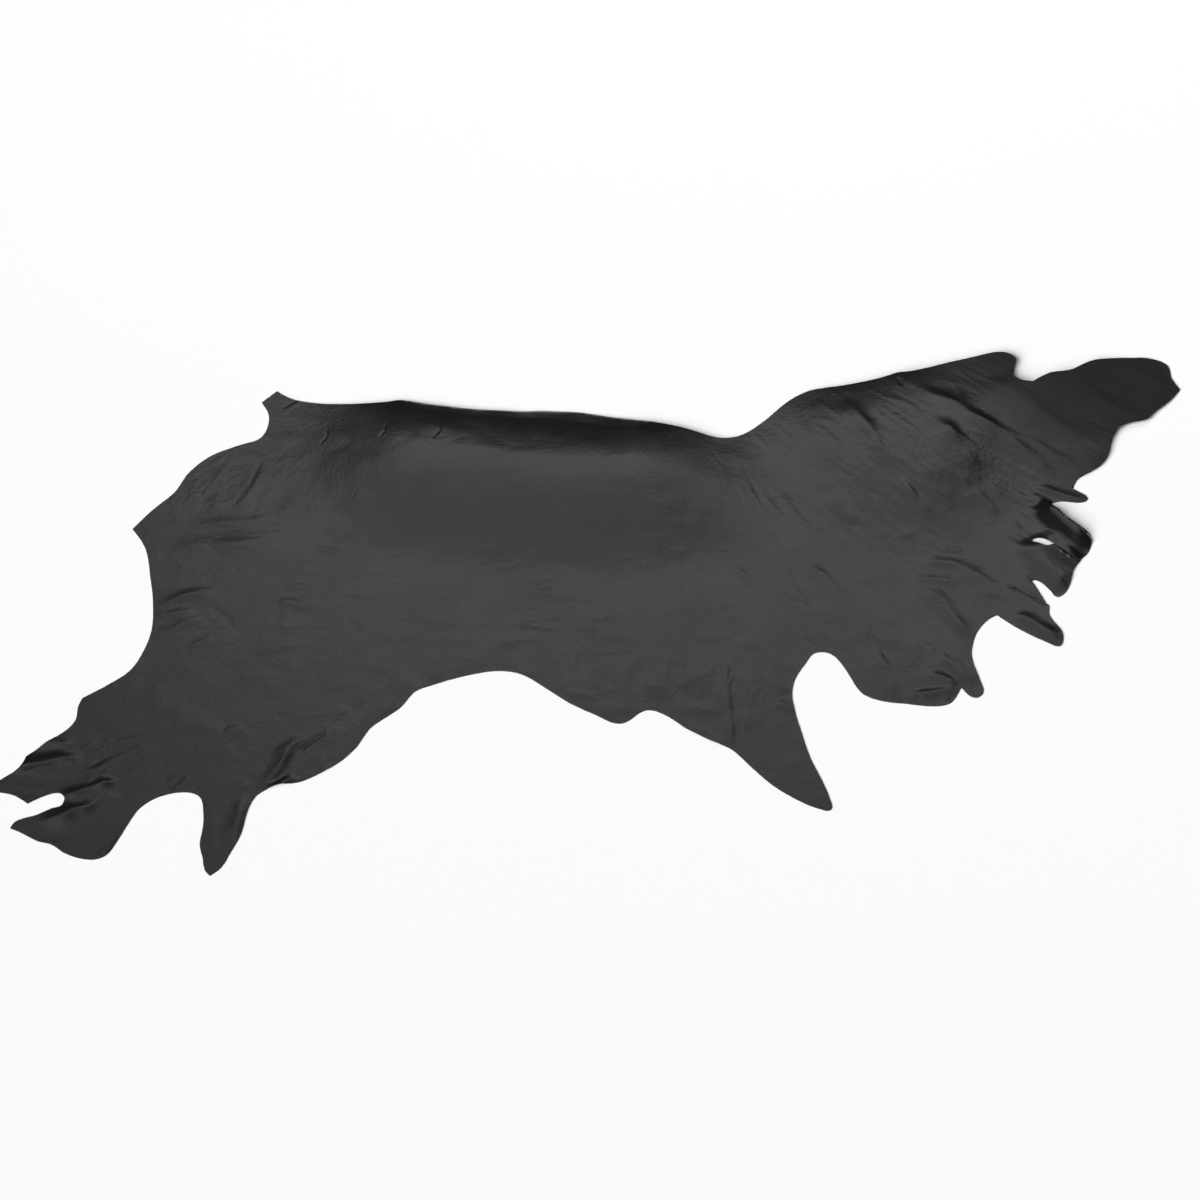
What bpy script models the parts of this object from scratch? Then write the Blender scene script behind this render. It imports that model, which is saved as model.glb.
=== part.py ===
# A leather side: one half of a cattle hide, split along the back, laid on a flat surface, grain up.
# The head points to +X and the hind shank to -X. The back line is at +Y and the belly at -Y.
# It is one sheet of one thickness: flat where it lies, and lifted in folds at the neck, the shanks,
# the flank, the back edge and the slit cheek.

import math

import bmesh
import bpy
import numpy as np
from mathutils import Vector
from mathutils.geometry import delaunay_2d_cdt, interpolate_bezier

for old in list(bpy.data.objects):
    bpy.data.objects.remove(old, do_unlink=True)

# All sizes below are in millimetres.
MM = 0.001

LEATHER_THICKNESS = 1.6
LONGEST_EDGE_STEP = 30
EDGE_TURN_PER_STEP = math.radians(24)
FINEST_EDGE_STEP = 5
GRID_STEP = 55
FOLD_STEP = 34
CLOSEST_TO_EDGE = 9
CLOSEST_ON_FOLD = 10
FOLD_END_TAPER = 0.30

LEATHER_COLOUR = (0.018, 0.018, 0.017, 1.0)
LEATHER_ROUGHNESS = 0.42

SOFT = False
SHARP = True

# The cut edge, in stretches that follow on from each other anticlockwise. Columns: x, y, and whether
# the edge turns there in a sharp corner or in a soft curve.
TAIL_AND_RUMP = (
    (-621, 624, SHARP),
    (-651, 592, SHARP),
    (-638, 563, SOFT),
    (-638, 526, SOFT),
    (-654, 489, SOFT),
    (-694, 470, SOFT),
    (-754, 437, SOFT),
    (-799, 386, SOFT),
    (-821, 340, SOFT),
    (-873, 278, SOFT),
    (-907, 231, SHARP),
    (-892, 204, SOFT),
    (-880, 173, SOFT),
    (-870, 93, SOFT),
    (-864, 25, SOFT),
    (-866, -54, SOFT),
    (-880, -110, SOFT),
    (-906, -167, SOFT),
    (-931, -193, SOFT),
    (-1002, -247, SHARP),
    (-1010, -270, SOFT),
    (-1015, -308, SOFT),
    (-1031, -335, SOFT),
)
HIND_SHANK = (
    (-1065, -366, SOFT),
    (-1111, -411, SHARP),
    (-1122, -441, SOFT),
    (-1147, -463, SOFT),
    (-1198, -506, SHARP),
    (-1136, -518, SOFT),
    (-1107, -542, SHARP),
    (-1062, -515, SOFT),
    (-1043, -513, SOFT),
    (-1034, -526, SHARP),
    (-1041, -550, SOFT),
    (-1057, -556, SOFT),
    (-1089, -574, SOFT),
    (-1131, -593, SOFT),
    (-1141, -611, SHARP),
    (-1121, -622, SOFT),
    (-1084, -647, SOFT),
    (-1060, -655, SOFT),
    (-1030, -681, SOFT),
    (-978, -698, SOFT),
    (-952, -688, SOFT),
    (-933, -658, SOFT),
    (-914, -615, SOFT),
    (-884, -555, SOFT),
    (-863, -534, SOFT),
    (-832, -517, SOFT),
    (-785, -511, SOFT),
)
FLANK_FLAP = (
    (-765, -524, SOFT),
    (-758, -559, SOFT),
    (-758, -609, SOFT),
    (-764, -656, SOFT),
    (-758, -693, SOFT),
    (-753, -728, SOFT),
    (-743, -743, SHARP),
    (-723, -723, SOFT),
    (-704, -681, SOFT),
    (-684, -631, SOFT),
    (-669, -559, SOFT),
    (-652, -520, SOFT),
    (-618, -494, SOFT),
    (-566, -481, SOFT),
    (-527, -458, SOFT),
    (-487, -425, SOFT),
    (-454, -383, SOFT),
    (-428, -332, SOFT),
    (-408, -311, SOFT),
)
BELLY = (
    (-369, -275, SOFT),
    (-337, -227, SOFT),
    (-309, -212, SOFT),
    (-229, -181, SOFT),
    (-170, -170, SOFT),
    (-130, -178, SOFT),
    (-70, -226, SOFT),
    (-30, -261, SOFT),
    (20, -293, SOFT),
    (70, -318, SOFT),
    (126, -280, SOFT),
    (154, -290, SOFT),
    (209, -338, SOFT),
    (243, -362, SOFT),
    (291, -390, SOFT),
)
FORE_SHANK = (
    (328, -436, SOFT),
    (368, -485, SOFT),
    (408, -521, SOFT),
    (467, -557, SOFT),
    (488, -560, SOFT),
    (487, -531, SOFT),
    (467, -467, SOFT),
    (450, -419, SOFT),
    (430, -338, SOFT),
    (413, -237, SOFT),
    (419, -195, SOFT),
    (441, -148, SOFT),
    (459, -120, SOFT),
    (485, -119, SOFT),
    (505, -138, SOFT),
    (529, -186, SOFT),
    (554, -234, SOFT),
)
BRISKET = (
    (588, -253, SOFT),
    (638, -262, SOFT),
    (704, -269, SOFT),
    (728, -261, SOFT),
    (751, -217, SHARP),
    (770, -242, SOFT),
    (782, -245, SOFT),
    (794, -233, SOFT),
    (787, -193, SOFT),
    (777, -158, SOFT),
    (772, -128, SOFT),
    (775, -93, SOFT),
    (783, -62, SOFT),
    (795, -40, SOFT),
    (811, -21, SOFT),
    (824, -13, SHARP),
)
LONG_CHEEK_FLAP = (
    (862, -47, SOFT),
    (923, -89, SOFT),
    (949, -100, SOFT),
    (955, -85, SOFT),
    (952, -58, SOFT),
    (935, -27, SOFT),
    (920, 5, SHARP),
    (900, 22, SOFT),
    (854, 66, SHARP),
    (902, 25, SOFT),
    (918, 11, SHARP),
)
SMALL_CHEEK_FLAP = (
    (922, 17, SOFT),
    (918, 31, SOFT),
    (902, 68, SOFT),
    (894, 85, SHARP),
)
LOWER_CHEEK_FLAP = (
    (901, 87, SOFT),
    (930, 58, SOFT),
    (945, 39, SOFT),
    (960, 49, SOFT),
    (970, 75, SOFT),
    (976, 110, SOFT),
    (985, 134, SHARP),
)
CHEEK_SLIT_AND_HOLE = (
    (963, 158, SOFT),
    (938, 184, SHARP),
    (922, 180, SOFT),
    (908, 187, SOFT),
    (894, 196, SOFT),
    (908, 204, SOFT),
    (922, 200, SOFT),
    (938, 188, SHARP),
    (963, 164, SOFT),
    (989, 139, SHARP),
)
CURLED_CHEEK_FLAP = (
    (1008, 164, SOFT),
    (1014, 207, SOFT),
    (1009, 220, SOFT),
    (978, 254, SOFT),
    (934, 303, SHARP),
)
EAR_FLAP = (
    (953, 310, SOFT),
    (1001, 308, SOFT),
    (1009, 316, SOFT),
    (979, 345, SHARP),
    (988, 370, SOFT),
    (1022, 396, SOFT),
    (1038, 412, SOFT),
    (1049, 433, SOFT),
    (1057, 476, SOFT),
    (1074, 511, SOFT),
    (1092, 522, SOFT),
)
MUZZLE = (
    (1131, 537, SOFT),
    (1143, 554, SOFT),
    (1178, 594, SOFT),
    (1198, 627, SHARP),
    (1182, 659, SOFT),
    (1172, 699, SOFT),
    (1139, 716, SOFT),
    (1076, 716, SOFT),
    (1022, 700, SOFT),
    (977, 668, SOFT),
    (935, 656, SOFT),
    (902, 631, SHARP),
    (876, 638, SOFT),
    (859, 664, SOFT),
    (868, 707, SOFT),
    (846, 724, SOFT),
)
BACK_LINE = (
    (786, 709, SOFT),
    (736, 691, SOFT),
    (649, 663, SOFT),
    (632, 662, SHARP),
    (584, 644, SOFT),
    (513, 629, SOFT),
    (457, 621, SOFT),
    (419, 600, SOFT),
    (352, 529, SOFT),
    (312, 495, SOFT),
    (271, 485, SOFT),
    (201, 508, SOFT),
    (131, 528, SOFT),
    (50, 547, SOFT),
    (-10, 563, SOFT),
    (-191, 563, SOFT),
    (-312, 578, SOFT),
    (-373, 592, SOFT),
    (-399, 586, SOFT),
    (-514, 585, SOFT),
    (-594, 604, SOFT),
)
STRETCHES = (
    TAIL_AND_RUMP,
    HIND_SHANK,
    FLANK_FLAP,
    BELLY,
    FORE_SHANK,
    BRISKET,
    LONG_CHEEK_FLAP,
    SMALL_CHEEK_FLAP,
    LOWER_CHEEK_FLAP,
    CHEEK_SLIT_AND_HOLE,
    CURLED_CHEEK_FLAP,
    EAR_FLAP,
    MUZZLE,
    BACK_LINE,
)

# Where the sheet is lifted: each row is a ridge along a smooth curve through three points. Columns:
# name, start, middle, end, height of the crest, and how wide the ridge is on the left and on the
# right of its way from start to end.
RIDGES = (
    ("neck wrinkle 1", (448, 447), (498, 300), (560, 205), 4, 16, 44),
    ("neck wrinkle 2", (496, 600), (610, 404), (740, 178), 5, 18, 54),
    ("neck wrinkle 3", (700, 540), (760, 421), (860, 262), 5, 18, 50),
    ("neck wrinkle 4", (614, 622), (800, 495), (965, 340), 6, 18, 42),
    ("neck wrinkle 5", (790, 625), (920, 540), (1035, 432), 5, 18, 40),
    ("cheek wrinkle", (1010, 605), (1064, 566), (1120, 530), 4, 16, 34),
    ("shoulder crease", (335, 480), (420, 215), (505, -35), 3, 44, 16),
    ("elbow crease", (440, 225), (572, 50), (655, -225), 4, 38, 16),
    ("axilla front", (322, -120), (330, -250), (332, -390), 7, 34, 26),
    ("axilla back", (250, -210), (262, -290), (268, -370), 5, 26, 30),
    ("throat fold 1", (655, 185), (780, 155), (858, 20), 6, 26, 18),
    ("throat fold 2", (664, 72), (718, 10), (774, -98), 6, 16, 30),
    ("brisket fold 1", (665, -165), (712, -192), (752, -214), 6, 14, 26),
    ("brisket fold 2", (700, -60), (748, -140), (786, -222), 5, 22, 22),
    ("curled flap crest", (920, 303), (968, 244), (1018, 190), 15, 12, 27),
    ("curled flap slit edge", (925, 212), (958, 184), (998, 148), 4, 16, 14),
    ("ear flap crest", (900, 345), (950, 328), (1010, 318), 6, 14, 14),
    ("lower cheek crest", (880, 135), (925, 100), (962, 55), 7, 44, 24),
    ("long flap crest", (850, 0), (900, -40), (960, -85), 6, 30, 30),
    ("flank fold", (-680, -515), (-590, -415), (-460, -275), 10, 18, 46),
    ("flank flap crest", (-722, -480), (-727, -590), (-737, -735), 7, 30, 38),
    ("hind shank fold 1", (-1140, -435), (-1080, -445), (-1010, -440), 6, 16, 26),
    ("hind shank fold 2", (-1065, -552), (-1000, -522), (-930, -488), 8, 20, 26),
    ("hind shank fold 3", (-1092, -612), (-1020, -578), (-935, -548), 7, 20, 26),
    ("rump fold", (-850, 222), (-740, 240), (-620, 262), 7, 18, 26),
    ("rump swell", (-860, 160), (-760, 172), (-640, 200), 5, 24, 60),
    ("tail fold 1", (-600, 440), (-640, 340), (-672, 268), 6, 26, 20),
    ("tail fold 2", (-560, 400), (-590, 330), (-605, 272), 5, 22, 22),
    ("tail fold 3", (-680, 410), (-700, 350), (-712, 290), 4, 24, 24),
    ("pin bone fold 1", (-868, 8), (-810, 30), (-750, 70), 7, 18, 16),
    ("pin bone fold 2", (-868, -32), (-820, -14), (-775, -8), 6, 14, 20),
    ("thigh fold 1", (-580, 118), (-525, 124), (-465, 120), 4, 16, 40),
    ("thigh fold 2", (-632, 10), (-578, 8), (-520, -10), 5, 16, 40),
    ("thigh fold 3", (-685, -105), (-620, -100), (-560, -108), 4, 16, 36),
)
# The same columns for the two places where the sheet rolls over and falls away to its edge. There the
# left side grows steeper all the way to its foot.
ROLLS = (
    ("back edge roll", (-410, 556), (-50, 384), (295, 470), 13, 180, 230),
    ("poll and muzzle roll", (740, 800), (930, 592), (1085, 405), 22, 250, 230),
)


def outline_points():
    """The corners of the stretches, moved so that their box is centred on the origin."""
    corners = [(Vector((x, y)), sharp) for stretch in STRETCHES for x, y, sharp in stretch]
    across = [place.x for place, sharp in corners]
    along = [place.y for place, sharp in corners]
    centre = Vector(((min(across) + max(across)) / 2, (min(along) + max(along)) / 2))
    return [(place - centre, sharp) for place, sharp in corners], centre


def handles(before, here, after, sharp):
    """Bezier handles at one point of the edge, towards the point before and the point after."""
    back = before - here
    ahead = after - here
    if sharp:
        return here + back / 3, here + ahead / 3
    direction = (ahead.normalized() - back.normalized()).normalized()
    return here - direction * back.length / 3, here + direction * ahead.length / 3


def cut_edge(corners):
    """The whole edge as one closed loop, with short steps where it turns and long ones elsewhere."""
    count = len(corners)
    arms = [
        handles(corners[i - 1][0], corners[i][0], corners[(i + 1) % count][0], corners[i][1])
        for i in range(count)
    ]
    loop = []
    for i in range(count):
        here = corners[i][0]
        after = corners[(i + 1) % count][0]
        leaving = arms[i][1]
        arriving = arms[(i + 1) % count][0]
        turn = (leaving - here).angle(arriving - leaving) + (arriving - leaving).angle(after - arriving)
        length = (after - here).length
        steps = math.ceil(max(length / LONGEST_EDGE_STEP, turn / EDGE_TURN_PER_STEP))
        steps = max(1, min(steps, int(length / FINEST_EDGE_STEP)))
        curve = interpolate_bezier(here, leaving, arriving, after, steps + 1)
        loop.extend((spot.x, spot.y) for spot in curve[:-1])
    return np.array(loop)


def fold_line(start, middle, end, steps):
    """Points along the smooth curve that runs through three points."""
    bend = middle * 2 - (start + end) / 2
    line = []
    for step in range(steps + 1):
        t = step / steps
        line.append(start * (1 - t) ** 2 + bend * 2 * t * (1 - t) + end * t * t)
    return np.array([(spot.x, spot.y) for spot in line])


class Fold:
    """One ridge or roll of the sheet, with its line as short straight pieces."""

    line_steps = 24

    def __init__(self, row, centre, rolled):
        start, middle, end, self.height, self.left, self.right = row[1:]
        self.rolled = rolled
        places = [Vector(place) - centre for place in (start, middle, end)]
        self.line = fold_line(*places, self.line_steps)
        self.steps = np.diff(self.line, axis=0)
        self.lengths = np.hypot(self.steps[:, 0], self.steps[:, 1])
        self.reached = np.concatenate(([0], np.cumsum(self.lengths)))

    def lift(self, x, y):
        """Height that this ridge gives the sheet at one place."""
        away = np.array((x, y)) - self.line[:-1]
        share = np.clip((away * self.steps).sum(axis=1) / self.lengths ** 2, 0, 1)
        across = away - self.steps * share[:, None]
        distances = np.hypot(across[:, 0], across[:, 1])
        piece = int(np.argmin(distances))
        side = self.steps[piece, 0] * across[piece, 1] - self.steps[piece, 1] * across[piece, 0]
        off_crest = distances[piece] / (self.left if side > 0 else self.right)
        if off_crest >= 1:
            return 0.0
        slope = 1 - off_crest ** 2 if self.rolled and side > 0 else math.cos(math.pi / 2 * off_crest) ** 2
        travelled = (self.reached[piece] + share[piece] * self.lengths[piece]) / self.reached[-1]
        from_end = min(travelled, 1 - travelled, FOLD_END_TAPER) / FOLD_END_TAPER
        return self.height * math.sin(math.pi / 2 * from_end) ** 2 * slope

    def mesh_spots(self):
        """Rows of points on the crest, down both slopes and at both feet."""
        count = max(2, round(self.reached[-1] / FOLD_STEP))
        rows = (0, self.left / 2, -self.right / 2, self.left, -self.right)
        spots = []
        for row in rows:
            for step in range(count + 1):
                place = step / count * self.line_steps
                piece = min(int(place), self.line_steps - 1)
                on_line = self.line[piece] + self.steps[piece] * (place - piece)
                outward = np.array((-self.steps[piece, 1], self.steps[piece, 0])) / self.lengths[piece]
                spots.append(on_line + outward * row)
        return spots


def inside(spot, loop):
    """Whether a place is inside the cut edge."""
    following = np.roll(loop, -1, axis=0)
    crossing = (loop[:, 1] > spot[1]) != (following[:, 1] > spot[1])
    first, second = loop[crossing], following[crossing]
    share = (spot[1] - first[:, 1]) / (second[:, 1] - first[:, 1])
    meets = first[:, 0] + share * (second[:, 0] - first[:, 0])
    return np.count_nonzero(meets > spot[0]) % 2 == 1


def edge_distance(spot, loop):
    """Distance from a place to the cut edge."""
    steps = np.roll(loop, -1, axis=0) - loop
    away = spot - loop
    share = np.clip((away * steps).sum(axis=1) / (steps ** 2).sum(axis=1), 0, 1)
    gaps = away - steps * share[:, None]
    return np.hypot(gaps[:, 0], gaps[:, 1]).min()


def grid_spots(loop):
    """An even triangular grid over the box of the hide."""
    low, high = loop.min(axis=0), loop.max(axis=0)
    row_step = GRID_STEP * math.sqrt(3) / 2
    spots = []
    for row in range(int((high[1] - low[1]) / row_step) + 1):
        shift = GRID_STEP / 2 if row % 2 else 0
        for column in range(int((high[0] - low[0]) / GRID_STEP) + 1):
            spots.append(low + np.array((shift + column * GRID_STEP, row * row_step)))
    return spots


def spread_spots(loop, folds):
    """Points inside the edge: first those of the folds, then the grid's where there is room."""
    kept = np.empty((0, 2))
    waves = [(fold.mesh_spots(), CLOSEST_ON_FOLD, CLOSEST_TO_EDGE) for fold in folds]
    waves.append((grid_spots(loop), GRID_STEP * 0.6, GRID_STEP * 0.4))
    for spots, spacing, from_edge in waves:
        for spot in spots:
            if not inside(spot, loop) or edge_distance(spot, loop) < from_edge:
                continue
            gaps = kept - spot
            if len(kept) and np.hypot(gaps[:, 0], gaps[:, 1]).min() < spacing:
                continue
            kept = np.vstack((kept, spot))
    return kept


def sheet_mesh(loop, folds):
    """The flesh side of the hide as one surface, flat at zero and lifted where the folds are."""
    spots = np.vstack((loop, spread_spots(loop, folds)))
    flat = [Vector(spot) for spot in spots]
    verts, _, faces, _, _, _ = delaunay_2d_cdt(flat, [], [list(range(len(loop)))], 1, 0.001)
    surface = bmesh.new()
    for vert in verts:
        lift = sum(fold.lift(vert.x, vert.y) for fold in folds)
        surface.verts.new((vert.x * MM, vert.y * MM, lift * MM))
    surface.verts.ensure_lookup_table()
    for face in faces:
        surface.faces.new([surface.verts[index] for index in face])
    bmesh.ops.delete(surface, geom=[vert for vert in surface.verts if not vert.link_faces], context="VERTS")
    mesh = bpy.data.meshes.new("leather_side")
    surface.to_mesh(mesh)
    surface.free()
    return mesh


def leather_material():
    """Black finished leather with a satin sheen."""
    material = bpy.data.materials.new("leather")
    material.use_nodes = True
    shader = material.node_tree.nodes["Principled BSDF"]
    shader.inputs["Base Color"].default_value = LEATHER_COLOUR
    shader.inputs["Roughness"].default_value = LEATHER_ROUGHNESS
    shader.inputs["Metallic"].default_value = 0.0
    return material


def make_side():
    """The whole side: the flesh surface, thickened upwards to the grain surface."""
    corners, centre = outline_points()
    folds = [Fold(row, centre, False) for row in RIDGES] + [Fold(row, centre, True) for row in ROLLS]
    mesh = sheet_mesh(cut_edge(corners), folds)
    mesh.materials.append(leather_material())
    side = bpy.data.objects.new("leather_side", mesh)
    bpy.context.scene.collection.objects.link(side)
    thickness = side.modifiers.new("thickness", "SOLIDIFY")
    thickness.thickness = LEATHER_THICKNESS * MM
    thickness.offset = 1.0
    return side


make_side()
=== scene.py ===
import math

import bmesh
import bpy
import numpy as np
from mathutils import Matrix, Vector
from mathutils.geometry import delaunay_2d_cdt, interpolate_bezier
from mathutils.kdtree import KDTree


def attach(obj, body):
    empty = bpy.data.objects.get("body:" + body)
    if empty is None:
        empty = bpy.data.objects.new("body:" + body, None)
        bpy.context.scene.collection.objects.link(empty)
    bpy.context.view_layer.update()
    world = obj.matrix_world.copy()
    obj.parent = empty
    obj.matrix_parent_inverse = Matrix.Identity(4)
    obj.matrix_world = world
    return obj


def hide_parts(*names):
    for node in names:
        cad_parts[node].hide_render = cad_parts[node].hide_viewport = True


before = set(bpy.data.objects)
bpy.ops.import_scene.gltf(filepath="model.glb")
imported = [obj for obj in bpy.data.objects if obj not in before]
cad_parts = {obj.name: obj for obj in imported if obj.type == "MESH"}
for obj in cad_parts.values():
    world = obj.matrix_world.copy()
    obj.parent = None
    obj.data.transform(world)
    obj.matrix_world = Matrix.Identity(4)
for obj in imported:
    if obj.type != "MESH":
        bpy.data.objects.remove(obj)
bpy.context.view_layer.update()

# A side of black leather, grain up, laid on a pale floor. Head to +X, back line to +Y, metres.

scene = bpy.context.scene
mm = 0.001

# Sizes of the sheet's own mesh, in millimetres
sheetSizes = {
    "thickness": 1.6,
    "edgeStep": 4.5,          # along the cut edge
    "grainStep": 5.8,         # between the points of the grain side
    "fleshStep": 13.0,        # between the points of the flesh side
    "freeShare": 0.62,        # share of a step that stays free around the edge and the creases
    "creaseStep": 4.0,        # along a fine crease
    "creaseRows": (0, -0.9, 0.9, -2.0, 2.0, -3.4),   # rows of points beside it, in half widths
    "fineCrease": 5,          # greatest half width of a crease that has such rows
    "creaseApart": 1.1,       # least distance between their points
    "cornerTurn": 34,         # degrees, more than this is a sharp corner of the cut edge
    "wornEdge": 0.25,         # rounding between the grain and the cut edge
    "wornTurn": 55,           # degrees, edges that turn more than this are worn
    "smoothTurn": 38,         # degrees, edges that turn less than this are shaded smooth
    "crestRound": 3.5,        # radius at the top of a fold
    "wander": 2.0,            # how far folds stray from their drawn line
    "wanderLength": 90,
    "uneven": 0.3,            # share by which a fold's height goes up and down along it
    "unevenLength": 110,
    "swell": 0.5,             # low waves that a hide never loses
    "curlFlat": 7,            # width of the flat crest of a curl
    "thinnest": 0.7,          # what a crease leaves of the thickness
}
# Share of its length over which each form dies out at its ends, or a slit opens from its inner end
tapers = {"fold": 0.33, "curl": 0.3, "rim": 0.2, "crease": 0.25, "tear": 0.3, "slit": 0.35}

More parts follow.
